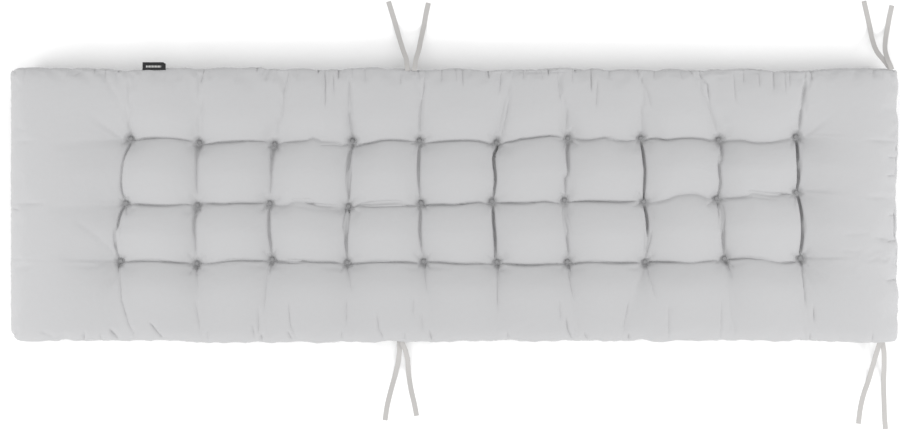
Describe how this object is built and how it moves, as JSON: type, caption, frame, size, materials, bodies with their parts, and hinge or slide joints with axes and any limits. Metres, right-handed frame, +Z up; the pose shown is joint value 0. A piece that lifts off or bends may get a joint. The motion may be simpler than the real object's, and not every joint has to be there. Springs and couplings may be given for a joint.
{
  "type": "sun lounger cushion",
  "caption": "Long filled lounger cushion, tufted in a grid with sewn creases, a seamed rim, small tuft knots, paired flat tie tapes and a side label.",
  "frame": {"origin": "middle of the underside, on the surface that the cushion rests on", "axes": "+X along the length, away from the plain end with the side label near it; +Y across the width, towards the side with the label; +Z up out of the tufted face"},
  "size_m": [1.8028, 0.8714, 0.0793],
  "materials": {
    "cover_cloth": "plain woven light grey cotton cloth, matt, with fine creases",
    "knot_cloth": "grey cloth tufting knot",
    "tape_cloth": "pale warm grey folded cotton tape",
    "label_weave": "near-black woven damask tape"
  },
  "bodies": {
    "root": {"cushion": "cover_cloth", "tuft_button_front_1": "knot_cloth", "tuft_button_front_2": "knot_cloth", "tuft_button_front_3": "knot_cloth", "tuft_button_front_4": "knot_cloth", "tuft_button_front_5": "knot_cloth", "tuft_button_front_6": "knot_cloth", "tuft_button_front_7": "knot_cloth", "tuft_button_front_8": "knot_cloth", "tuft_button_front_9": "knot_cloth", "tuft_button_front_10": "knot_cloth", "tuft_button_middle_1": "knot_cloth", "tuft_button_middle_2": "knot_cloth", "tuft_button_middle_3": "knot_cloth", "tuft_button_middle_4": "knot_cloth", "tuft_button_middle_5": "knot_cloth", "tuft_button_middle_6": "knot_cloth", "tuft_button_middle_7": "knot_cloth", "tuft_button_middle_8": "knot_cloth", "tuft_button_middle_9": "knot_cloth", "tuft_button_middle_10": "knot_cloth", "tuft_button_back_1": "knot_cloth", "tuft_button_back_2": "knot_cloth", "tuft_button_back_3": "knot_cloth", "tuft_button_back_4": "knot_cloth", "tuft_button_back_5": "knot_cloth", "tuft_button_back_6": "knot_cloth", "tuft_button_back_7": "knot_cloth", "tuft_button_back_8": "knot_cloth", "tuft_button_back_9": "knot_cloth", "tuft_button_back_10": "knot_cloth", "tie_back_middle_left": "tape_cloth", "tie_back_middle_right": "tape_cloth", "tie_back_end_left": "tape_cloth", "tie_back_end_right": "tape_cloth", "tie_front_middle_left": "tape_cloth", "tie_front_middle_right": "tape_cloth", "tie_front_end_left": "tape_cloth", "tie_front_end_right": "tape_cloth", "label": "label_weave"}
  },
  "joints": []
}
